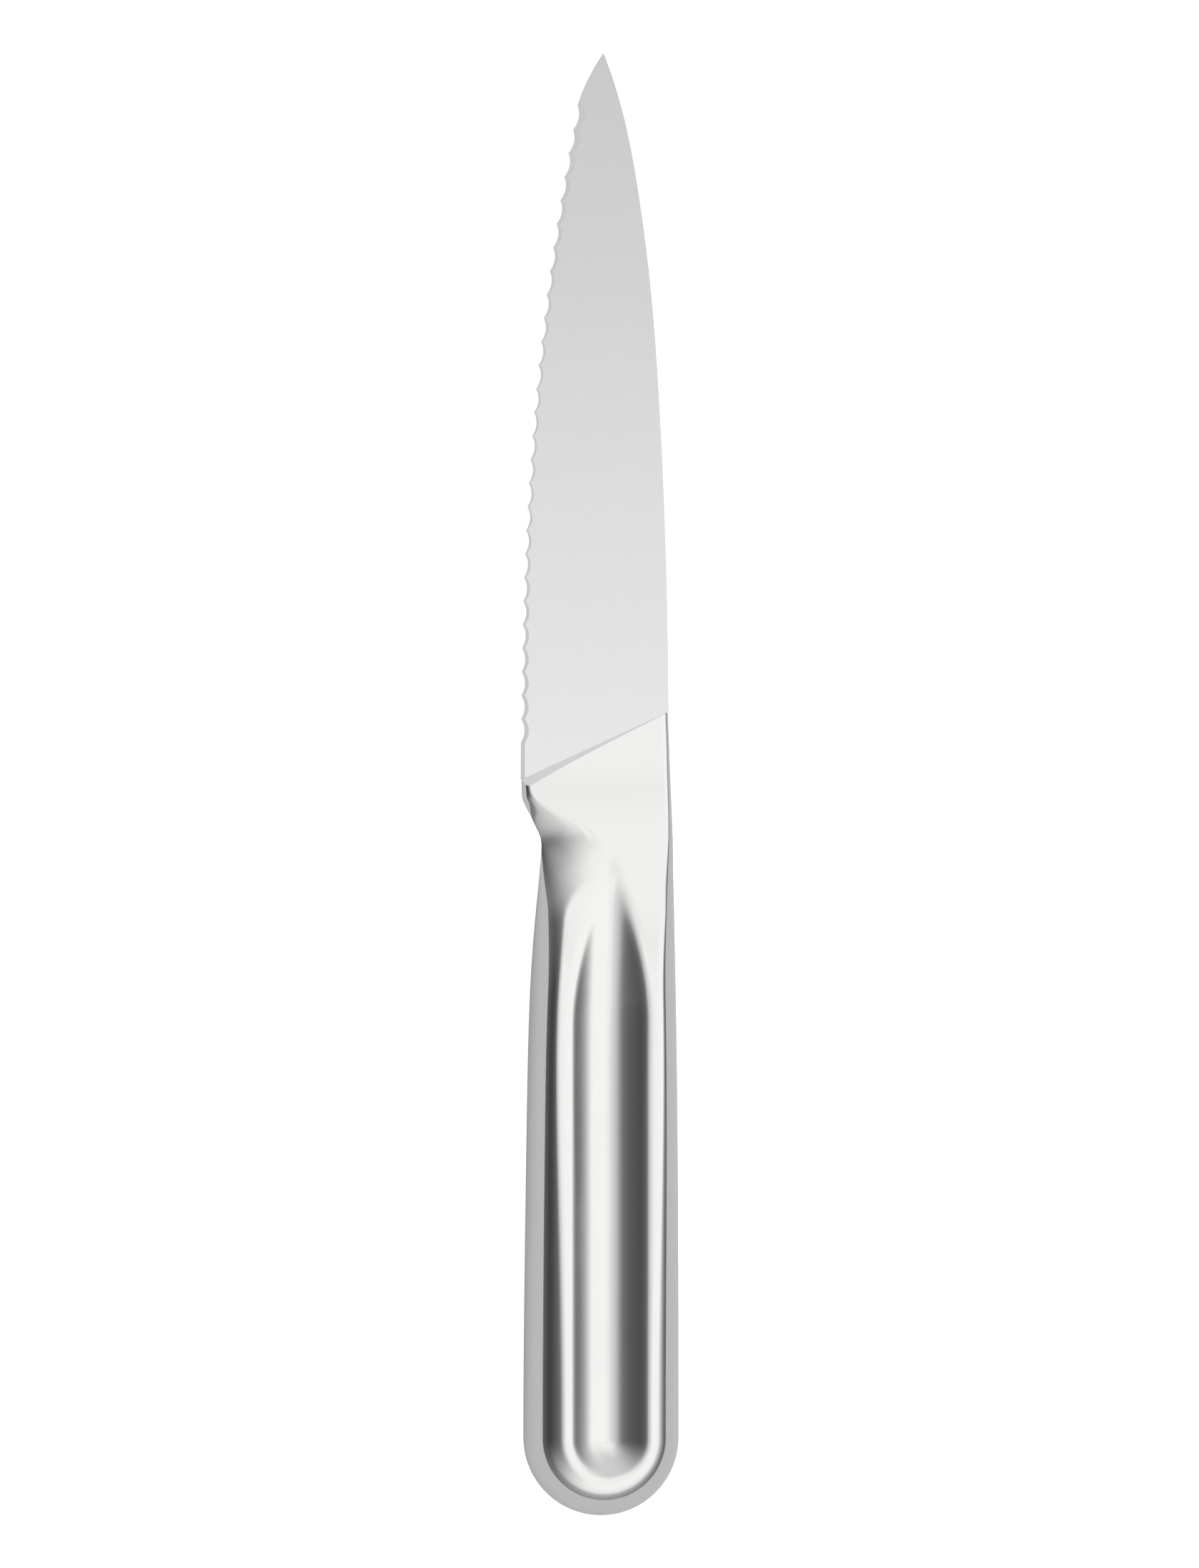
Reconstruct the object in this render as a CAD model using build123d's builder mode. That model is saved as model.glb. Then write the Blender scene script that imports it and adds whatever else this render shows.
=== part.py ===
from build123d import *
from math import cos, exp, hypot, pi, radians, sin, sqrt, tan
import os

# Tomato knife, all stainless steel, lying on its side.
# +Y runs to the point, -X is the cutting edge, +X is the back of the blade,
# +Z is up. The origin is the middle of the footprint, on the surface it lies on.
# All lengths are in millimetres.

# Overall sizes
overall_length = 250.0
overall_width = 27.3
blade_length = 124.2  # heel to point
blade_height = 25.5  # cutting edge to back, at the heel
handle_width = 26.7  # over the round butt

# Blade plate
spine_half = 1.2  # half the thickness of the back at the shoulder
edge_half = 0.17  # half the thickness left behind the ground edge at the heel
far_edge_half = 0.14  # the same, most of the way to the point
far_edge_run = 99.0
far_edge_rise = 6.7
edge_sweep = 11.8  # how far the edge curves over to the point, as a power law
edge_power = 2.42
shoulder_angle = 24.5

# Serrated edge
last_tooth = 6.35  # plain edge between the heel and the first tooth point
tooth_pitch = 4.03
plain_tip = 8.6  # at least this much of the edge stays plain at the point
gullet_depth = 0.62
grind_angle = 28.0
grind_bite = 0.03  # each gullet runs this far into its neighbours' points

# Tang, which keeps the taper of the blade inside the handle
tang_length = 46.0  # behind the heel
tang_width = 12.5
tang_relief = 0.1  # each face of the tang is ground this far below the blade's
tang_inset = 4.0  # from the back of the blade to the tang
tang_corner = 2.0
tang_hole_radius = 2.0
tang_hole_spacing = 14.0
tang_hole_inset = 9.0

# Collar, the solid front of the handle
collar_half = 1.32
collar_length = 10.1  # heel to the seam at the finger notch
collar_round = 1.55
step_angle = 45.0
notch_start = 3.26  # behind the heel
notch_slope_angle = 26.9
notch_soften = 0.5
notch_round = 1.1  # how far the notch's deepest corner is rounded off
heel_proud = 0.2
neck_back_inset = 0.95
spigot_length = 6.0
spigot_gap = 0.3
slot_gap = 0.05

# Handle body, as half thicknesses about the middle plane
grip_half = 7.25
butt_half = 8.5
wall = 1.2
swell_start = 6.7  # ahead of the heel
swell_length = 44.0
flare_length = 74.5  # the run over which the grip thickens to the butt
grip_flank = 6.2  # how far each rounded flank reaches in from the outline
butt_flank = 9.4
crest_rise_share = 1.09  # the flanks aim this far above the crests that cut them short
crest_soft = 0.4
neck_flank_start = 0.5  # behind the heel
neck_flank_run = 18.5
neck_scoop = 6.4  # how much wider the flank is in the finger notch
neck_scoop_run = 5.6
back_flank_start = 4.2
back_flank_run = 33.0
belly_run = 19.3
belly_flare = 0.67  # how much of the belly comes only with the flare to the butt
back_swell_run = 36.6
swell_power = 1.5

# Thumb hollow in each cheek
dish_depth = 3.6
dish_lead = 1.0
dish_start = 4.0  # behind the heel
dish_run = 38.0
dish_soft = 3.8
dish_slope = 0.9
lip_soft = 1.1

# What fills the handle
core_gap = 0.25
weight_width = 13.0
weight_thickness = 3.0
weight_end_inset = 12.0
weight_tang_gap = 8.0

cut_overrun = 2.0

# Back of the blade, as shares of the blade length from the heel and of the blade height
spine_shares = [
    (0.247, 0.990),
    (0.404, 0.966),
    (0.523, 0.937),
    (0.680, 0.879),
    (0.798, 0.806),
    (0.892, 0.724),
    (0.955, 0.642),
]
tip_height_share = 0.564
tip_arc_share = (0.963, 0.457)

# How many even steps the sections of the collar and of the handle take
collar_steps = 12
handle_steps = 18
spigot_steps = 3
flank_steps = 6
widest_flank_share = 0.96
half_cheek_shares = [0.0, 0.17, 0.33, 0.49, 0.65, 0.82, 1.0]

# Places that follow from the sizes
butt_y = -overall_length / 2
tip_y = overall_length / 2
heel_y = tip_y - blade_length
tooth_gaps = int((blade_length - last_tooth - plain_tip) / tooth_pitch)
edge_x = -overall_width / 2
back_x = overall_width / 2
spine_x = edge_x + blade_height
butt_radius = handle_width / 2
butt_x = back_x - butt_radius
butt_centre_y = butt_y + butt_radius
seam_y = heel_y - collar_length
shoulder_y = heel_y + blade_height * tan(radians(shoulder_angle))
collar_front_y = shoulder_y + cut_overrun
tang_x = spine_x - tang_inset - tang_width / 2
tang_hole_y = heel_y - tang_length + tang_hole_inset
tang_hole_places = (tang_hole_y, tang_hole_y + tang_hole_spacing)
neck_edge_x = edge_x + heel_proud + (
    (collar_length - notch_start) * tan(radians(notch_slope_angle))
)
butt_edge_x = butt_x - butt_radius
weight_back_y = butt_y + weight_end_inset
weight_length = heel_y - tang_length - weight_tang_gap - weight_back_y


def ease(value):
    """A smooth step from 0 to 1 with a level start and end."""
    share = min(max(value, 0.0), 1.0)
    return share * share * (3 - 2 * share)


def soft_lower(a, b, softness):
    """The lower of two heights, with the corner between them rounded off."""
    overlap = max(softness - abs(a - b), 0.0) / softness
    return min(a, b) - overlap**3 * softness / 6


def swelling(y, run):
    """From 0 at the seam to 1 at the butt's centre, most of it within the run."""
    behind = max(seam_y - y, 0.0) / run
    full = (seam_y - butt_centre_y) / run
    return (1 - exp(-(behind**swell_power))) / (1 - exp(-(full**swell_power)))


def flare(y):
    """From 0 to 1 over the run in which the grip thickens to the butt."""
    return ease((butt_centre_y + flare_length - y) / flare_length)


def lower_outline(y):
    """X along the cutting side: straight, sloping in to the notch, then swelling to the butt."""
    past = heel_y - notch_start - y
    eased = (past + hypot(past, notch_soften)) / 2
    notch = edge_x + heel_proud + eased * tan(radians(notch_slope_angle))
    belly = (neck_edge_x - butt_edge_x - belly_flare) * (1 - swelling(y, belly_run))
    handle = butt_edge_x + belly_flare * (1 - flare(y)) + belly
    return soft_lower(notch, handle, notch_round)


def upper_outline(y):
    """X along the back of the collar and the handle."""
    neck_x = back_x - neck_back_inset
    ahead = max(y - seam_y, 0.0) / (collar_front_y - seam_y)
    return neck_x + neck_back_inset * swelling(y, back_swell_run) - (neck_x - spine_x) * ahead


def body_half(y):
    """Half thickness of the handle before its cheeks are hollowed."""
    swell = ease((heel_y + swell_start - y) / swell_length)
    return collar_half + (grip_half - collar_half) * swell + (butt_half - grip_half) * flare(y)


def flank_reach(y, grow):
    """How far a flank reaches in where it has grown by a share from the collar to the grip."""
    return collar_round + (grip_flank - collar_round) * grow + (butt_flank - grip_flank) * flare(y)


def edge_flank(y):
    """How far the rounded flank reaches in from the lower outline."""
    grow = ease((heel_y - neck_flank_start - y) / neck_flank_run)
    scoop = neck_scoop * exp(-(((y - seam_y) / neck_scoop_run) ** 2))
    return scoop + flank_reach(y, grow)


def back_flank(y):
    """How far the rounded flank reaches in from the upper outline."""
    grow = ease((heel_y - back_flank_start - y) / back_flank_run)
    return flank_reach(y, grow)


def hollow_depth(y):
    """Depth of the thumb hollow's floor, negative where it has run out of the cheek."""
    sink = ease((heel_y - dish_start - y) / dish_run)
    return (dish_depth + dish_lead) * sink - dish_lead


def cheek_points(y, inset):
    """Points (x, height) over one cheek, from each outline to the middle.

    The flanks are ellipses cut short by the crests. Between them the height is
    the softened lower of the body and a trough with sloping walls and a rounded floor.
    """
    half = body_half(y) - inset
    low_x, high_x = lower_outline(y) + inset, upper_outline(y) - inset
    middle = (low_x + high_x) / 2
    widest = (high_x - low_x) / 2 * widest_flank_share
    low_flank = min(edge_flank(y) - inset, widest)
    high_flank = min(back_flank(y) - inset, widest)
    floor = body_half(y) - hollow_depth(y) - inset * hypot(1, dish_slope)

    def height(x, turn):
        body = soft_lower(half, half * crest_rise_share * sin(turn), crest_soft)
        trough = floor + dish_slope * (hypot(x - middle, dish_soft) - dish_soft)
        return soft_lower(body, trough, lip_soft)

    def half_points(outline_x, flank, towards):
        """One half, from the outline to the middle of the cheek."""
        run = []
        for step in range(1, flank_steps):
            turn = pi / 2 * step / flank_steps
            x = outline_x + towards * flank * (1 - cos(turn))
            run.append((x, height(x, turn)))
        crest_x = outline_x + towards * flank
        for share in half_cheek_shares:
            x = crest_x + (middle - crest_x) * share
            run.append((x, height(x, pi / 2)))
        return [(outline_x, 0.0)] + run

    return half_points(low_x, low_flank, 1), half_points(high_x, high_flank, -1)


def even_places(front_y, back_y, steps):
    return [front_y + (back_y - front_y) * step / steps for step in range(steps + 1)]


handle_front_to_butt = even_places(seam_y, butt_centre_y, handle_steps)
middle_z = max(height for y in handle_front_to_butt for _, height in cheek_points(y, 0.0)[1])


seam_plane = Plane.XY.offset(middle_z)


def cross_plane(y):
    """A plane across the knife at Y, with its own Y up."""
    return Plane(origin=(0, y, middle_z), x_dir=(1, 0, 0), z_dir=(0, -1, 0))


def cheek_sections(places, inset):
    """Sections across the upper cheek, closed along the middle plane."""
    sections = []
    for y in places:
        edge_points, back_points = cheek_points(y, inset)
        points = edge_points + back_points[-2::-1]
        with BuildLine() as outline:
            Spline(points, tangents=[(0, 1), (0, -1)], tangent_scalars=(1, 1))
            Line(points[-1], points[0])
        sections.append(cross_plane(y) * Face(Wire(outline.edges())))
    return sections


butt_axis = Axis((butt_x, butt_centre_y, middle_z), (0, 0, 1))
quarter_turn = 90
half_turn = 180


def upper_handle(inset, front_y, mode=Mode.ADD):
    """The upper cheek's body: lofted to the butt's centre, then turned round the butt."""
    sections = cheek_sections(even_places(front_y, butt_centre_y, handle_steps), inset)
    loft(sections, mode=mode)
    middle_cut = Plane(origin=(butt_x, 0, 0), z_dir=(1, 0, 0))
    profile = sections[-1].split(middle_cut, keep=Keep.TOP)
    revolve(profile, axis=butt_axis, revolution_arc=-half_turn, mode=mode)


# The blade is a wedge between two flat faces, thick at the back, thin at the edge and the point
taper_span = blade_height * far_edge_run - far_edge_rise * (shoulder_y - heel_y)
taper_across = (
    (spine_half - edge_half) * far_edge_run
    - (far_edge_half - edge_half) * (shoulder_y - heel_y)
) / taper_span
taper_along = (
    (far_edge_half - edge_half) * blade_height - (spine_half - edge_half) * far_edge_rise
) / taper_span


def blade_half(x, y):
    """Half thickness of the blade."""
    return edge_half + taper_across * (x - edge_x) + taper_along * (y - heel_y)


def facing_plane(cheek, start, end, third):
    """The plane through three points (x, y, half thickness), facing out of that cheek."""
    a, b, c = (Vector(x, y, middle_z + cheek * half) for x, y, half in (start, end, third))
    normal = (b - a).cross(c - a)
    return Plane(origin=a, x_dir=b - a, z_dir=normal if normal.Z * cheek > 0 else -normal)


def blade_faces(gap=0.0):
    """The planes of the blade's two flat faces, a gap outside them."""
    far_x, far_y = edge_x + far_edge_rise, heel_y + far_edge_run
    places = (edge_x, heel_y), (spine_x, shoulder_y), (far_x, far_y)
    corners = [(x, y, blade_half(x, y) + gap) for x, y in places]
    return [facing_plane(cheek, *corners) for cheek in (1, -1)]


def edge_line(y):
    """X of the cutting edge, through the tooth points."""
    return edge_x + edge_sweep * ((y - heel_y) / blade_length) ** edge_power


def tang_plan(gap, hole_radius):
    """The tang seen from above, a gap all round it, with its keying holes."""
    front_y = shoulder_y + gap
    back_y = heel_y - tang_length - gap
    with BuildSketch() as plan:
        with Locations((tang_x, (front_y + back_y) / 2)):
            Rectangle(tang_width + 2 * gap, front_y - back_y)
        fillet(plan.vertices().sort_by(Axis.Y)[:2], tang_corner + gap)
        if hole_radius:
            with Locations(*((tang_x, y) for y in tang_hole_places)):
                Circle(hole_radius, mode=Mode.SUBTRACT)
    return plan.sketch


def tang_room(gap, hole_radius):
    """The solid that the tang takes up, with a gap all round it."""
    with BuildPart() as room:
        extrude(tang_plan(gap, hole_radius), amount=2 * middle_z)
        for face in blade_faces(gap - tang_relief):
            split(bisect_by=face, keep=Keep.BOTTOM)
    return room.part


tang = tang_room(0, tang_hole_radius)
collar_slot = tang_room(slot_gap, 0)
core_slot = tang_room(slot_gap, tang_hole_radius - slot_gap)

os.makedirs("parts", exist_ok=True)

tooth_points = [
    (edge_line(y), y)
    for y in (heel_y + last_tooth + tooth_pitch * tooth for tooth in range(tooth_gaps + 1))
]
tip_point = (edge_x + tip_height_share * blade_height, tip_y)
tip_arc_point = (
    edge_x + tip_arc_share[1] * blade_height, heel_y + tip_arc_share[0] * blade_length
)
spine_points = [
    (edge_x + height * blade_height, heel_y + along * blade_length)
    for along, height in reversed(spine_shares)
]

# A gullet is ground by a wheel whose axis leans over the edge from the upper cheek
grind = radians(grind_angle)
gullet_plan_radius = (tooth_pitch / 2) ** 2 / (2 * gullet_depth)
wheel_radius = gullet_plan_radius / sin(grind)


def wheel_rise(y_off):
    """How far the gullet falls back from its deepest place, along the lower face."""
    return (wheel_radius - sqrt(wheel_radius**2 - y_off**2)) / sin(grind)


def gullet_wheel(first, second):
    """Where the wheel stands that grinds the gullet between two tooth points."""
    lean = (second[0] - first[0]) / (second[1] - first[1])
    centre_y = (first[1] + second[1]) / 2 + lean * gullet_plan_radius
    deepest = [x + wheel_rise(y - centre_y) for x, y in (first, second)]
    x = (deepest[0] + deepest[1]) / 2 + grind_bite
    contact = Vector(x, centre_y, middle_z - blade_half(x, centre_y))
    outward = Vector(-sin(grind), 0, cos(grind))
    axis = Vector(cos(grind), 0, sin(grind))
    return Plane(origin=contact + outward * wheel_radius, x_dir=outward, z_dir=axis)


with BuildPart() as blade:
    with BuildSketch() as blade_plan:
        with BuildLine():
            Polyline((spine_x, shoulder_y), (edge_x, heel_y), *tooth_points)
            ThreePointArc(tooth_points[-1], tip_arc_point, tip_point)
            Spline(tip_point, *spine_points, (spine_x, shoulder_y))
        make_face()
    extrude(amount=2 * middle_z)
    for face in blade_faces():
        split(bisect_by=face, keep=Keep.BOTTOM)
    heel_bevel = Plane(
        origin=(edge_x + grind_bite, heel_y, middle_z - blade_half(edge_x, heel_y)),
        x_dir=(cos(grind), 0, sin(grind)),
        z_dir=(-sin(grind), 0, cos(grind)),
    )
    with Locations(heel_bevel):
        Box(
            cut_overrun * 2, last_tooth * 2, cut_overrun,
            align=(Align.CENTER, Align.CENTER, Align.MIN), mode=Mode.SUBTRACT,
        )
    with Locations(*(gullet_wheel(*pair) for pair in zip(tooth_points, tooth_points[1:]))):
        Cylinder(wheel_radius, cut_overrun * 3, mode=Mode.SUBTRACT)
    add(tang)
blade.part.label = "blade"
export_step(blade.part, "parts/blade.step")

with BuildPart() as collar:
    loft(cheek_sections(even_places(collar_front_y, seam_y, collar_steps), 0.0))
    heel_low = Vector(edge_x, heel_y, 0)
    along_shoulder = Vector(blade_height, shoulder_y - heel_y, 0).normalized()
    ahead = Vector(-along_shoulder.Y, along_shoulder.X, 0)
    split(bisect_by=Plane(origin=heel_low, x_dir=along_shoulder, z_dir=ahead), keep=Keep.BOTTOM)
    step = radians(step_angle)
    start = (edge_x, heel_y, blade_half(edge_x, heel_y))
    end = (spine_x, shoulder_y, blade_half(spine_x, shoulder_y))
    risen = (
        edge_x - ahead.X * blade_height,
        heel_y - ahead.Y * blade_height,
        blade_half(edge_x, heel_y) + blade_height * tan(step),
    )
    split(bisect_by=facing_plane(1, start, end, risen), keep=Keep.BOTTOM)
    spigot_places = even_places(seam_y, seam_y - spigot_length, spigot_steps)
    loft(cheek_sections(spigot_places, wall + spigot_gap))
    mirror(about=seam_plane)
    add(collar_slot, mode=Mode.SUBTRACT)
collar.part.label = "collar"
export_step(collar.part, "parts/collar.step")

with BuildPart() as handle_shell_left:
    upper_handle(0.0, seam_y)
    upper_handle(wall, seam_y, mode=Mode.SUBTRACT)
handle_shell_left.part.label = "handle_shell_left"
export_step(handle_shell_left.part, "parts/handle_shell_left.step")

with BuildPart() as handle_shell_right:
    mirror(handle_shell_left.part, about=seam_plane)
handle_shell_right.part.label = "handle_shell_right"
export_step(handle_shell_right.part, "parts/handle_shell_right.step")

with BuildPart() as balance_weight:
    with BuildSketch(Plane.XY.offset(middle_z - weight_thickness / 2)):
        with Locations((butt_x, weight_back_y + weight_length / 2)):
            SlotOverall(weight_length, weight_width, rotation=quarter_turn)
    extrude(amount=weight_thickness)
balance_weight.part.label = "balance_weight"
export_step(balance_weight.part, "parts/balance_weight.step")

with BuildPart() as handle_core:
    upper_handle(wall + core_gap, seam_y - spigot_length - core_gap)
    mirror(about=seam_plane)
    add(core_slot, mode=Mode.SUBTRACT)
    add(balance_weight.part, mode=Mode.SUBTRACT)
handle_core.part.label = "handle_core"
export_step(handle_core.part, "parts/handle_core.step")
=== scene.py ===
import bmesh
import bpy
import numpy as np
from mathutils import Matrix, Vector


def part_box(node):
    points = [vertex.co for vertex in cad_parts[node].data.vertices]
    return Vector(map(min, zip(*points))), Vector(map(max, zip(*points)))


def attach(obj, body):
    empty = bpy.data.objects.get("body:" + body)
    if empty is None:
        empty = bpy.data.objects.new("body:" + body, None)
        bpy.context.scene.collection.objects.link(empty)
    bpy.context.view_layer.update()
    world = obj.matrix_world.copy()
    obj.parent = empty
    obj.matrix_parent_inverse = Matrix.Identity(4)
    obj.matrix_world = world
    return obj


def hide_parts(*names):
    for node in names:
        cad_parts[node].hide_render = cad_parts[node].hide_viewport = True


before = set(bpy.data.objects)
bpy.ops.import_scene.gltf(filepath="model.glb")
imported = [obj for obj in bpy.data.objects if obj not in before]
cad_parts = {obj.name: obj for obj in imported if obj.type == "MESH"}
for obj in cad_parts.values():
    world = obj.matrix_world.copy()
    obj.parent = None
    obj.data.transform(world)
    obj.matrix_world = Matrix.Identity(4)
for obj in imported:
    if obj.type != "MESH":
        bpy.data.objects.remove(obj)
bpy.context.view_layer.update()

# Tomato knife of polished stainless steel, lying on its side.
# +Y runs to the point, -X is the cutting edge, +Z is up. Sizes are in millimetres.
MM = 0.001

# Overall sizes and the blade
OVERALL_LENGTH = 250.0
OVERALL_WIDTH = 27.3
BLADE_LENGTH = 124.2
BLADE_HEIGHT = 25.5
HANDLE_WIDTH = 26.7

SPINE_HALF = 1.2
EDGE_HALF = 0.17
SHOULDER_ANGLE = np.radians(24.5)

# Collar and finger notch
COLLAR_HALF = 1.32
COLLAR_LENGTH = 10.1
COLLAR_ROUND = 1.55
NOTCH_START = 3.26
NOTCH_SLOPE = np.tan(np.radians(26.9))
NOTCH_SOFTEN = 0.5
NOTCH_ROUND = 1.1
HEEL_PROUD = 0.2
NECK_BACK_INSET = 0.95
COLLAR_OVERRUN = 2.0

# Handle body. The scoop belongs to the flank at the finger notch
GRIP_HALF = 7.25
BUTT_HALF = 8.5
SWELL_START = 6.7
SWELL_LENGTH = 44.0
FLARE_LENGTH = 74.5
GRIP_FLANK = 6.2
BUTT_FLANK = 9.4
CREST_RISE = 0.09
CREST_START = 15.0
CREST_RUN = 9.0
CREST_SOFT = 0.4
NECK_FLANK_START = 0.5
NECK_FLANK_RUN = 18.5
SCOOP_REACH = 6.0
SCOOP_CREST = 0.22
SCOOP_START = 1.5
SCOOP_RISE = 8.5
SCOOP_END = 11.0
SCOOP_FALL = 28.0
SCOOP_DEEPEST = 9.8
SCOOP_LEAD = 6.0
SCOOP_TAIL = 5.2
BACK_FLANK_START = 4.2
BACK_FLANK_RUN = 33.0
WIDEST_FLANK = 0.96
BELLY_RUN = 19.3
BELLY_FLARE = 0.67
BACK_SWELL_RUN = 36.6
SWELL_POWER = 1.5

# Thumb hollow in each cheek
DISH_DEPTH = 3.6
DISH_LEAD = 1.0
DISH_START = 4.0
DISH_RUN = 38.0
DISH_SOFT = 3.8
DISH_SLOPE = 0.9
LIP_SOFT = 1.1

# How finely the skin is divided, and how its points are found and joined
FLANK_COLUMNS = 34
TROUGH_COLUMNS = 34
COLUMN_CROWDING = 1.35
BAND_ROWS = 4
COLLAR_ROWS = 34
HANDLE_ROWS = 150
BUTT_STEPS = 72
SHOULDER_TRIES = 12
STEP_HALVINGS = 30
FURTHEST_STEP = 5.0
MERGE_DISTANCE = MM / 500
SLIVER_LENGTH = MM / 1000
SHARP_DEGREES = 24

HEEL_Y = OVERALL_LENGTH / 2 - BLADE_LENGTH
EDGE_X = -OVERALL_WIDTH / 2
BACK_X = OVERALL_WIDTH / 2
SPINE_X = EDGE_X + BLADE_HEIGHT
BUTT_RADIUS = HANDLE_WIDTH / 2
BUTT_X = BACK_X - BUTT_RADIUS
BUTT_Y = BUTT_RADIUS - OVERALL_LENGTH / 2
SEAM_Y = HEEL_Y - COLLAR_LENGTH
SHOULDER_Y = HEEL_Y + BLADE_HEIGHT * np.tan(SHOULDER_ANGLE)
COLLAR_FRONT_Y = SHOULDER_Y + COLLAR_OVERRUN
NECK_EDGE_X = EDGE_X + HEEL_PROUD + (COLLAR_LENGTH - NOTCH_START) * NOTCH_SLOPE
BUTT_EDGE_X = BUTT_X - BUTT_RADIUS
blade_low, blade_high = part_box("blade")
MIDDLE_Z = (blade_low.z + blade_high.z) / 2 / MM


def ease(value):
    """A smooth step from 0 to 1 with a level start and end: 3 s squared less 2 s cubed."""
    share = np.clip(value, 0.0, 1.0)
    return share * share * (3 - 2 * share)


def swelling(y, run):
    """From 0 at the seam to 1 at the butt's centre: 1 less e to the minus (distance / run)^1.5."""
    behind = np.maximum(SEAM_Y - y, 0.0) / run
    full = (SEAM_Y - BUTT_Y) / run
    return (1 - np.exp(-(behind**SWELL_POWER))) / (1 - np.exp(-(full**SWELL_POWER)))


def soft_lower(a, b, softness):
    """The lower of two values, less a cubic that rounds off the corner between them."""
    overlap = np.maximum(softness - np.abs(a - b), 0.0) / softness
    return np.minimum(a, b) - overlap**3 * softness / 6


def lower_outline(y):
    """X along the cutting side: straight under the heel, sloping in to the notch, swelling out."""
    past = HEEL_Y - NOTCH_START - y
    notch = EDGE_X + HEEL_PROUD + (past + np.hypot(past, NOTCH_SOFTEN)) / 2 * NOTCH_SLOPE
    belly = (NECK_EDGE_X - BUTT_EDGE_X - BELLY_FLARE) * (1 - swelling(y, BELLY_RUN))
    handle = BUTT_EDGE_X + BELLY_FLARE * (1 - flare(y)) + belly
    return soft_lower(notch, handle, NOTCH_ROUND)


def upper_outline(y):
    """X along the back: a straight run up the collar, then a slight swell to the butt."""
    neck_x = BACK_X - NECK_BACK_INSET
    ahead = np.maximum(y - SEAM_Y, 0.0) / (COLLAR_FRONT_Y - SEAM_Y)
    return neck_x + NECK_BACK_INSET * swelling(y, BACK_SWELL_RUN) - (neck_x - SPINE_X) * ahead


def flare(y):
    return ease((BUTT_Y + FLARE_LENGTH - y) / FLARE_LENGTH)


def body_half(y):
    """Half thickness: the collar's, eased up to the grip's and on to the butt's."""
    swell = ease((HEEL_Y + SWELL_START - y) / SWELL_LENGTH)
    return COLLAR_HALF + (GRIP_HALF - COLLAR_HALF) * swell + (BUTT_HALF - GRIP_HALF) * flare(y)


def flank_reach(y, start, run):
    """How far a rounded flank reaches in from its outline."""
    grow = ease((HEEL_Y - start - y) / run)
    return COLLAR_ROUND + (GRIP_FLANK - COLLAR_ROUND) * grow + (BUTT_FLANK - GRIP_FLANK) * flare(y)


def scoop_share(y):
    """From 0 to 1 into the finger notch and slowly back to 0 along the grip: two eased steps."""
    behind = HEEL_Y - y
    return ease((behind - SCOOP_START) / SCOOP_RISE) * (1 - ease((behind - SCOOP_END) / SCOOP_FALL))


def scoop_flatness(y):
    """From 0 to 1 and back about the deepest place of the notch: two halves of bell curves."""
    ahead = y - HEEL_Y + SCOOP_DEEPEST
    return np.exp(-((ahead / np.where(ahead > 0, SCOOP_LEAD, SCOOP_TAIL)) ** 2))


def hollow_depth(y):
    """Depth of the thumb hollow's floor, negative where it has run out of the cheek."""
    return (DISH_DEPTH + DISH_LEAD) * ease((HEEL_Y - DISH_START - y) / DISH_RUN) - DISH_LEAD


def cheek_columns():
    """Which side each column is on, its turn round the flank and its share of the way in."""
    turns = np.linspace(0, np.pi / 2, FLANK_COLUMNS + 1)
    inward = np.linspace(0, 1, TROUGH_COLUMNS + 1)[1:] ** COLUMN_CROWDING
    turn = np.concatenate([turns, np.full(TROUGH_COLUMNS, np.pi / 2)])
    share = np.concatenate([np.zeros(FLANK_COLUMNS + 1), inward])
    side = np.ones_like(turn)
    mirrored = slice(-2, None, -1)
    return (
        np.concatenate([-side, side[mirrored]]),
        np.concatenate([turn, turn[mirrored]]),
        np.concatenate([share, share[mirrored]]),
    )


SIDE, TURN, SHARE = cheek_columns()


def cheek_point(y):
    """X and height above the middle plane for every column, at each row's Y.

    The flanks are ellipses, so x is the outline plus the reach times 1 less
    cos(turn), and the height is half the thickness times sin(turn). In the
    finger notch the ellipse gives way to a quarter of a sine wave over the same
    reach, which starts as a slope. Along the grip the flanks aim a little higher
    and are cut short at half the thickness. From the crests to the middle x runs
    evenly in, and the height is the lower of the body and of a trough, whose
    walls slope and whose floor is a hyperbola.
    """
    low, high, half = lower_outline(y), upper_outline(y), body_half(y)
    middle = (low + high) / 2
    widest = (high - low) / 2 * WIDEST_FLANK
    scoop = np.where(SIDE < 0, scoop_share(y), 0.0)
    low_flank = flank_reach(y, NECK_FLANK_START, NECK_FLANK_RUN) + SCOOP_REACH * scoop
    high_flank = np.minimum(flank_reach(y, BACK_FLANK_START, BACK_FLANK_RUN), widest)
    outline = np.where(SIDE < 0, low, high)
    reach = np.where(SIDE < 0, np.minimum(low_flank, widest), high_flank)
    crest = outline - SIDE * reach * (1 - np.cos(TURN))
    x = crest + (middle - crest) * SHARE
    flatness = np.where(SIDE < 0, scoop_flatness(y), 0.0)
    profile = np.sin(TURN) + (np.sin(np.pi / 2 * (1 - np.cos(TURN))) - np.sin(TURN)) * flatness
    rise = CREST_RISE + SCOOP_CREST * scoop
    aim = half * (1 + rise * ease((HEEL_Y - CREST_START - y) / CREST_RUN))
    body = soft_lower(half, aim * profile, CREST_SOFT)
    floor = half - hollow_depth(y)
    trough = floor + DISH_SLOPE * (np.hypot(x - middle, DISH_SOFT) - DISH_SOFT)
    return x, soft_lower(body, trough, LIP_SOFT)


def shoulder_y(x):
    """Y of the slanted line where the blade enters the collar."""
    return HEEL_Y + (x - EDGE_X) * np.tan(SHOULDER_ANGLE)


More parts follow.
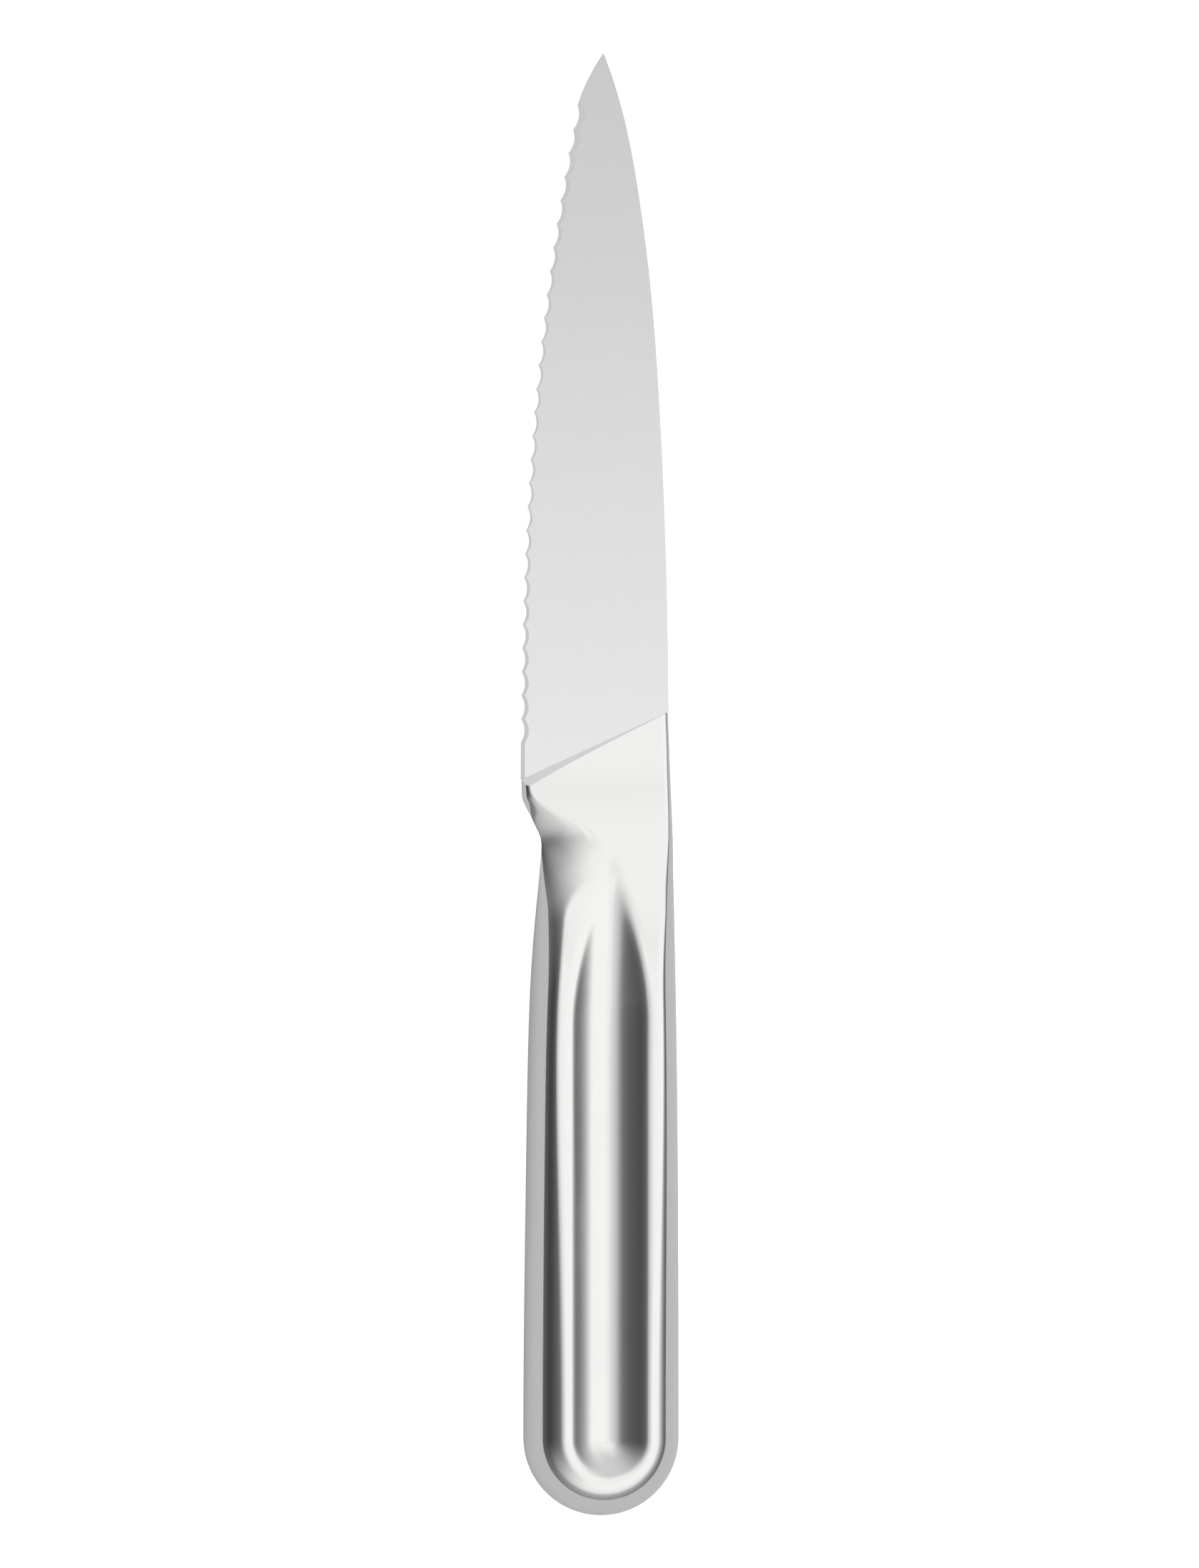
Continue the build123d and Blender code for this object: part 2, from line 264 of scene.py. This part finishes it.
def behind_shoulder(distance):
    """Y of the points that lie a distance straight behind the shoulder, one for each column."""
    y = np.full_like(TURN, HEEL_Y)
    for _ in range(SHOULDER_TRIES):
        y = shoulder_y(cheek_point(y)[0]) - distance
    return y


def step_height(x, y):
    """Height of the step's sloping face: the blade's face at the shoulder, rising at 45 degrees."""
    along = (x - EDGE_X) * np.cos(SHOULDER_ANGLE) + (y - HEEL_Y) * np.sin(SHOULDER_ANGLE)
    behind = (x - EDGE_X) * np.sin(SHOULDER_ANGLE) - (y - HEEL_Y) * np.cos(SHOULDER_ANGLE)
    length = BLADE_HEIGHT / np.cos(SHOULDER_ANGLE)
    return EDGE_HALF + (SPINE_HALF - EDGE_HALF) * along / length + behind


def step_reach():
    """How far behind the shoulder the step meets the collar's top, found by halving."""
    near, far = np.zeros_like(TURN), np.full_like(TURN, FURTHEST_STEP)
    for _ in range(STEP_HALVINGS):
        middle = (near + far) / 2
        y = behind_shoulder(middle)
        x, height = cheek_point(y)
        higher = height > step_height(x, y)
        near, far = np.where(higher, middle, near), np.where(higher, far, middle)
    return near


def upper_cheek():
    """Rows of points over the left cheek, from the shoulder to the butt's centre.

    The first rows climb the step's slope, the next fan back from its slanted
    top edge to the seam, and the rest are sections straight across.
    """
    reach = step_reach()
    rows = []
    for share in np.linspace(0, 1, BAND_ROWS):
        y = behind_shoulder(reach * share)
        x, height = cheek_point(y)
        rows.append((x, y, np.minimum(height, step_height(x, y))))
    top_y = rows[-1][1]
    collar = top_y + (SEAM_Y - top_y) * np.linspace(0, 1, COLLAR_ROWS + 1)[1:, None]
    back = SEAM_Y + (BUTT_Y - SEAM_Y) * np.linspace(0, 1, HANDLE_ROWS + 1)[1:, None]
    y = np.vstack([collar, np.broadcast_to(back, (HANDLE_ROWS, len(TURN)))])
    x, height = cheek_point(y)
    first = np.array(rows)
    return np.concatenate([first.transpose(0, 2, 1), np.stack([x, y, height], axis=-1)])


def upper_butt(last_row):
    """The last section's back half, turned half way round the butt's upright axis."""
    profile = last_row[len(TURN) // 2:]
    radius, height = profile[:, 0] - BUTT_X, profile[:, 2]
    turn = np.linspace(0, np.pi, BUTT_STEPS + 1)[:, None]
    x = BUTT_X + radius * np.cos(turn)
    y = BUTT_Y - radius * np.sin(turn)
    return np.stack([x, y, np.broadcast_to(height, x.shape)], axis=-1)


def grid_faces(rows, columns, start):
    """Four-sided faces over a grid of points numbered row by row from start."""
    corner = start + np.arange(rows - 1)[:, None] * columns + np.arange(columns - 1)
    corner = corner.ravel()
    return np.stack([corner, corner + 1, corner + columns + 1, corner + columns], axis=-1)


def steel_skin(name, grids):
    """One closed mesh from grids of points, with its doubled points merged."""
    points = np.concatenate([grid.reshape(-1, 3) for grid in grids]) + [0, 0, MIDDLE_Z]
    starts = np.cumsum([0] + [grid.shape[0] * grid.shape[1] for grid in grids])
    faces = np.concatenate(
        [grid_faces(*grid.shape[:2], start) for grid, start in zip(grids, starts)]
    )
    mesh = bpy.data.meshes.new(name)
    mesh.from_pydata((points * MM).tolist(), [], faces.tolist())
    work = bmesh.new()
    work.from_mesh(mesh)
    bmesh.ops.remove_doubles(work, verts=work.verts, dist=MERGE_DISTANCE)
    bmesh.ops.dissolve_degenerate(work, edges=work.edges, dist=SLIVER_LENGTH)
    bmesh.ops.recalc_face_normals(work, faces=work.faces)
    work.to_mesh(mesh)
    work.free()
    mesh.shade_smooth()
    mesh.set_sharp_from_angle(angle=np.radians(SHARP_DEGREES))
    piece = bpy.data.objects.new(name, mesh)
    bpy.context.scene.collection.objects.link(piece)
    return piece


cheek = upper_cheek()
butt = upper_butt(cheek[-1])
other_side = np.array([1, 1, -1])
shoulder_face = np.stack([cheek[0], cheek[0] * other_side])
handle_skin = steel_skin(
    "handle_skin", [cheek, butt, cheek * other_side, butt * other_side, shoulder_face]
)
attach(handle_skin, "root")
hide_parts("collar", "handle_shell_left", "handle_shell_right")


class Nodes:
    """A small helper for wiring one node tree."""

    def __init__(self, tree):
        self.tree = tree
        tree.nodes.clear()

    def add(self, kind, inputs=None, **settings):
        node = self.tree.nodes.new(kind)
        for key, value in settings.items():
            setattr(node, key, value)
        for key, value in (inputs or {}).items():
            self.put(node.inputs[key], value)
        return node

    def put(self, socket, value):
        if isinstance(value, bpy.types.NodeSocket):
            self.tree.links.new(value, socket)
        else:
            socket.default_value = value

    def math(self, operation, *values, clamp=False):
        node = self.add("ShaderNodeMath", operation=operation, use_clamp=clamp)
        for socket, value in zip(node.inputs, values):
            self.put(socket, value)
        return node.outputs[0]

    def ramp(self, value, stops):
        """A grey ramp through (place, brightness) stops."""
        node = self.add("ShaderNodeValToRGB", {"Fac": value})
        elements = node.color_ramp.elements
        while len(elements) > 1:
            elements.remove(elements[-1])
        for index, (place, level) in enumerate(stops):
            element = elements[0] if index == 0 else elements.new(place)
            element.position = place
            element.color = (level, level, level, 1)
        return node.outputs["Color"]


def linear(level):
    """Scene brightness of an 8-bit screen level: the standard sRGB curve."""
    share = level / 255
    return share / 12.92 if share <= 0.04045 else ((share + 0.055) / 1.055) ** 2.4


def new_material(name):
    material = bpy.data.materials.new(name)
    material.use_nodes = True
    return material, Nodes(material.node_tree)


def polished_steel():
    """Mirror-polished steel: faint clouding in its gloss and a very fine polishing grain."""
    material, nodes = new_material("polished_steel")
    place = nodes.add("ShaderNodeTexCoord").outputs["Object"]
    cloud = nodes.add(
        "ShaderNodeTexNoise", {"Vector": place, "Scale": 90.0, "Detail": 3.0}
    ).outputs["Fac"]
    grain = nodes.add(
        "ShaderNodeTexNoise", {"Vector": place, "Scale": 2600.0, "Detail": 2.0}
    ).outputs["Fac"]
    gloss = nodes.add(
        "ShaderNodeMapRange",
        {"Value": cloud, "From Min": 0.3, "From Max": 0.7, "To Min": 0.075, "To Max": 0.115},
    ).outputs["Result"]
    bump = nodes.add(
        "ShaderNodeBump", {"Height": grain, "Strength": 0.03, "Distance": 0.00002}
    ).outputs["Normal"]
    tint = nodes.add(
        "ShaderNodeMix",
        {"Factor": cloud, "A": (0.869, 0.868, 0.86, 1), "B": (0.889, 0.887, 0.88, 1)},
        data_type="RGBA",
    )
    shader = nodes.add(
        "ShaderNodeBsdfPrincipled", {"Metallic": 1.0, "Roughness": gloss, "Normal": bump}
    )
    nodes.tree.links.new(tint.outputs["Result"], shader.inputs["Base Color"])
    nodes.add("ShaderNodeOutputMaterial", {"Surface": shader.outputs[0]})
    return material


# The ground edge is where the blade's face leans, but less than its sides do
FLAT_FACING = 0.97
SIDE_FACING = 0.5
BRUSH_ANGLE = np.radians(-28)


def brushed_blade():
    """Satin blade steel: long fine grinding lines that rise to the back, a paler ground edge, and
    painted shade that darkens the base colour towards the tip.
    """
    material, nodes = new_material("blade_steel")
    coords = nodes.add("ShaderNodeTexCoord")
    place = coords.outputs["Object"]
    turned = nodes.add(
        "ShaderNodeMapping", {"Vector": place, "Rotation": (0, 0, BRUSH_ANGLE)}
    ).outputs["Vector"]
    lines = nodes.add(
        "ShaderNodeMapping", {"Vector": turned, "Scale": (60.0, 3500.0, 60.0)}
    ).outputs["Vector"]
    brush = nodes.add(
        "ShaderNodeTexNoise", {"Vector": lines, "Scale": 1.0, "Detail": 4.0, "Roughness": 0.6}
    ).outputs["Fac"]
    sweep = nodes.add(
        "ShaderNodeTexNoise", {"Vector": place, "Scale": 30.0, "Detail": 2.0}
    ).outputs["Fac"]
    across = nodes.add("ShaderNodeSeparateXYZ", {"Vector": place}).outputs["Y"]
    # Painted shade: the base colour darkens from heel to tip, standing in for the studio's reflection
    # fading along the blade.
    painted_shade_to_tip = nodes.ramp(
        nodes.math("DIVIDE", across, OVERALL_LENGTH / 2 * MM, clamp=True),
        [(0.0, 0.85), (0.35, 0.775), (0.7, 0.68), (1.0, 0.62)],
    )
    # The painted shade towards the tip, plus a little of the grinding lines' grain.
    brightness = nodes.math(
        "ADD", painted_shade_to_tip, nodes.math("MULTIPLY", nodes.math("SUBTRACT", brush, 0.5), 0.05)
    )
    facing = nodes.add("ShaderNodeSeparateXYZ", {"Vector": coords.outputs["Normal"]}).outputs["Z"]
    ground = nodes.math(
        "MULTIPLY",
        nodes.math("LESS_THAN", nodes.math("ABSOLUTE", facing), FLAT_FACING),
        nodes.math("GREATER_THAN", nodes.math("ABSOLUTE", facing), SIDE_FACING),
    )
    colour = nodes.add(
        "ShaderNodeMix",
        {"Factor": ground, "B": (0.95, 0.95, 0.94, 1)},
        data_type="RGBA",
    )
    nodes.tree.links.new(brightness, colour.inputs["A"])
    satin = nodes.add(
        "ShaderNodeMapRange", {"Value": brush, "To Min": 0.24, "To Max": 0.34}
    ).outputs["Result"]
    satin = nodes.math(
        "ADD", satin, nodes.math("MULTIPLY", nodes.math("SUBTRACT", sweep, 0.5), 0.06)
    )
    rough = nodes.math("MAXIMUM", satin, nodes.math("MULTIPLY", ground, 0.6))
    metal = nodes.math("SUBTRACT", 1.0, nodes.math("MULTIPLY", ground, 0.8))
    bump = nodes.add(
        "ShaderNodeBump", {"Height": brush, "Strength": 0.12, "Distance": 0.00003}
    ).outputs["Normal"]
    shader = nodes.add(
        "ShaderNodeBsdfPrincipled", {"Metallic": metal, "Roughness": rough, "Normal": bump}
    )
    nodes.tree.links.new(colour.outputs["Result"], shader.inputs["Base Color"])
    nodes.add("ShaderNodeOutputMaterial", {"Surface": shader.outputs[0]})
    return material


def hidden_filler():
    """Cast mineral filler: a matt speckled grey-brown."""
    material, nodes = new_material("cast_filler")
    place = nodes.add("ShaderNodeTexCoord").outputs["Object"]
    speckle = nodes.add(
        "ShaderNodeTexNoise", {"Vector": place, "Scale": 700.0, "Detail": 5.0}
    ).outputs["Fac"]
    tint = nodes.add(
        "ShaderNodeMix",
        {"Factor": speckle, "A": (0.36, 0.34, 0.31, 1), "B": (0.6, 0.58, 0.54, 1)},
        data_type="RGBA",
    )
    shader = nodes.add("ShaderNodeBsdfPrincipled", {"Roughness": 0.85})
    nodes.tree.links.new(tint.outputs["Result"], shader.inputs["Base Color"])
    nodes.add("ShaderNodeOutputMaterial", {"Surface": shader.outputs[0]})
    return material


def raw_steel():
    """Rolled bar: dark steel with soft streaks along its length."""
    material, nodes = new_material("weight_steel")
    place = nodes.add("ShaderNodeTexCoord").outputs["Object"]
    along = nodes.add(
        "ShaderNodeMapping", {"Vector": place, "Scale": (900.0, 60.0, 900.0)}
    ).outputs["Vector"]
    streak = nodes.add("ShaderNodeTexNoise", {"Vector": along, "Scale": 1.0}).outputs["Fac"]
    rough = nodes.add(
        "ShaderNodeMapRange", {"Value": streak, "To Min": 0.35, "To Max": 0.55}
    ).outputs["Result"]
    tint = nodes.add(
        "ShaderNodeMix",
        {"Factor": streak, "A": (0.3, 0.3, 0.3, 1), "B": (0.45, 0.45, 0.44, 1)},
        data_type="RGBA",
    )
    shader = nodes.add("ShaderNodeBsdfPrincipled", {"Metallic": 1.0, "Roughness": rough})
    nodes.tree.links.new(tint.outputs["Result"], shader.inputs["Base Color"])
    nodes.add("ShaderNodeOutputMaterial", {"Surface": shader.outputs[0]})
    return material


def dress(piece, material):
    """Puts one material on the whole piece."""
    if piece.material_slots:
        for material_slot in piece.material_slots:
            material_slot.material = material
    else:
        piece.data.materials.append(material)


dress(handle_skin, polished_steel())
dress(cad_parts["blade"], brushed_blade())
dress(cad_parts["handle_core"], hidden_filler())
dress(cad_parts["balance_weight"], raw_steel())

# The studio: brightness by the angle from straight up, in degrees, towards each side
STEEL = 0.87
STUDIO = {
    "left": [(0, 232), (8, 224), (14, 213), (21, 205), (30, 186), (36, 165), (40, 140), (44, 120),
             (48, 105), (53, 92), (58, 84), (66, 66), (74, 62), (80, 76), (90, 90)],
    "right": [(0, 232), (8, 238), (20, 242), (60, 242), (66, 235), (71, 205), (76, 165), (81, 118),
              (86, 90), (90, 120)],
    "front": [(0, 232), (10, 240), (17, 228), (23, 239), (35, 236), (45, 225), (60, 200), (75, 205),
              (90, 220)],
    "back": [(0, 232), (20, 240), (60, 240), (70, 230), (76, 170), (90, 130)],
}


def studio_world():
    """Light by direction: four sides' ramps, weighted by the squares of the level direction.

    The camera sees plain white behind the table's edge, and so does the steel.
    """
    world = bpy.data.worlds.new("studio")
    world.use_nodes = True
    nodes = Nodes(world.node_tree)
    direction = nodes.add("ShaderNodeTexCoord").outputs["Generated"]
    parts = nodes.add("ShaderNodeSeparateXYZ", {"Vector": direction}).outputs
    height = nodes.math("MINIMUM", nodes.math("MAXIMUM", parts["Z"], -1.0), 1.0)
    from_up = nodes.math("ARCCOSINE", height)
    angle = nodes.math("DIVIDE", from_up, np.pi / 2, clamp=True)
    level = nodes.math(
        "SQRT",
        nodes.math(
            "ADD",
            nodes.math("ADD", nodes.math("MULTIPLY", parts["X"], parts["X"]), 1e-6),
            nodes.math("MULTIPLY", parts["Y"], parts["Y"]),
        ),
    )
    total = None
    for side, axis, sign in (
        ("left", "X", -1.0), ("right", "X", 1.0), ("front", "Y", 1.0), ("back", "Y", -1.0)
    ):
        towards = nodes.math(
            "MAXIMUM", nodes.math("MULTIPLY", nodes.math("DIVIDE", parts[axis], level), sign), 0.0
        )
        weight = nodes.math("MULTIPLY", towards, towards)
        stops = [(degrees / 90, linear(shade) / STEEL) for degrees, shade in STUDIO[side]]
        share = nodes.math("MULTIPLY", nodes.ramp(angle, stops), weight)
        total = share if total is None else nodes.math("ADD", total, share)
    room = nodes.add("ShaderNodeBackground", {"Color": (1, 1, 1, 1), "Strength": total})
    white = nodes.add("ShaderNodeBackground", {"Color": (1, 1, 1, 1), "Strength": 1.0})
    path = nodes.add("ShaderNodeLightPath").outputs
    mirrored = nodes.math("ADD", path["Is Glossy Ray"], path["Is Transmission Ray"])
    below = nodes.math("LESS_THAN", parts["Z"], 0.0)
    seen_in_steel = nodes.math("MULTIPLY", mirrored, below)
    seen = nodes.math("ADD", path["Is Camera Ray"], seen_in_steel, clamp=True)
    mixed = nodes.add("ShaderNodeMixShader", {0: seen, 1: room.outputs[0], 2: white.outputs[0]})
    nodes.add("ShaderNodeOutputWorld", {"Surface": mixed.outputs[0]})
    return world


TABLE_HALF = 1.6
TABLE_GLOW = 0.85
TABLE_GLOW_IN_STEEL = 0.05


def white_table():
    """A pale grey floor that mirrors grey. Its glow for the camera turns it, and most shadow, white."""
    size = TABLE_HALF
    mesh = bpy.data.meshes.new("table")
    corners = [(-size, -size, 0), (size, -size, 0), (size, size, 0), (-size, size, 0)]
    mesh.from_pydata(corners, [], [(0, 1, 2, 3)])
    table = bpy.data.objects.new("table", mesh)
    bpy.context.scene.collection.objects.link(table)
    material, nodes = new_material("table")
    path = nodes.add("ShaderNodeLightPath").outputs
    paper = nodes.add(
        "ShaderNodeTexNoise",
        {"Vector": nodes.add("ShaderNodeTexCoord").outputs["Object"], "Scale": 40.0},
    ).outputs["Fac"]
    tint = nodes.add(
        "ShaderNodeMix",
        {"Factor": paper, "A": (0.65, 0.65, 0.65, 1), "B": (0.67, 0.67, 0.67, 1)},
        data_type="RGBA",
    )
    matt = nodes.add("ShaderNodeBsdfDiffuse")
    nodes.tree.links.new(tint.outputs["Result"], matt.inputs["Color"])
    mirrored = nodes.math("ADD", path["Is Glossy Ray"], path["Is Transmission Ray"])
    glow = nodes.add(
        "ShaderNodeEmission",
        {
            "Strength": nodes.math(
                "ADD",
                nodes.math("MULTIPLY", path["Is Camera Ray"], TABLE_GLOW),
                nodes.math("MULTIPLY", mirrored, TABLE_GLOW_IN_STEEL),
            )
        },
    )
    both = nodes.add("ShaderNodeAddShader", {0: matt.outputs[0], 1: glow.outputs[0]})
    nodes.add("ShaderNodeOutputMaterial", {"Surface": both.outputs[0]})
    mesh.materials.append(material)
    return table


bpy.context.scene.world = studio_world()
white_table()

# The camera looks down from a long way off, leaning 10 degrees
LEAN = np.radians(10)
CAMERA_DISTANCE = 2.6
PICTURE_ROWS = 2197
MM_PER_ROW = 0.12207
FRAME_HEIGHT = PICTURE_ROWS * MM_PER_ROW * MM
AIM_X = 0.00004
AIM_Y = 0.00006
SENSOR_HEIGHT = 36.0
FAR_CLIP = 50.0
camera_data = bpy.data.cameras.new("camera")
camera_data.sensor_fit = "VERTICAL"
camera_data.sensor_height = SENSOR_HEIGHT
camera_data.lens = SENSOR_HEIGHT * CAMERA_DISTANCE / FRAME_HEIGHT
camera_data.clip_end = FAR_CLIP
camera = bpy.data.objects.new("camera", camera_data)
bpy.context.scene.collection.objects.link(camera)
right = Vector((np.cos(LEAN), 0, np.sin(LEAN)))
up = Vector((0, 1, 0))
back = right.cross(up)
aim = Vector((AIM_X, AIM_Y, MIDDLE_Z * MM))
camera.matrix_world = Matrix.Translation(aim + back * CAMERA_DISTANCE) @ Matrix(
    (right, up, back)
).transposed().to_4x4()
bpy.context.scene.camera = camera
bpy.context.scene.view_settings.view_transform = "Standard"
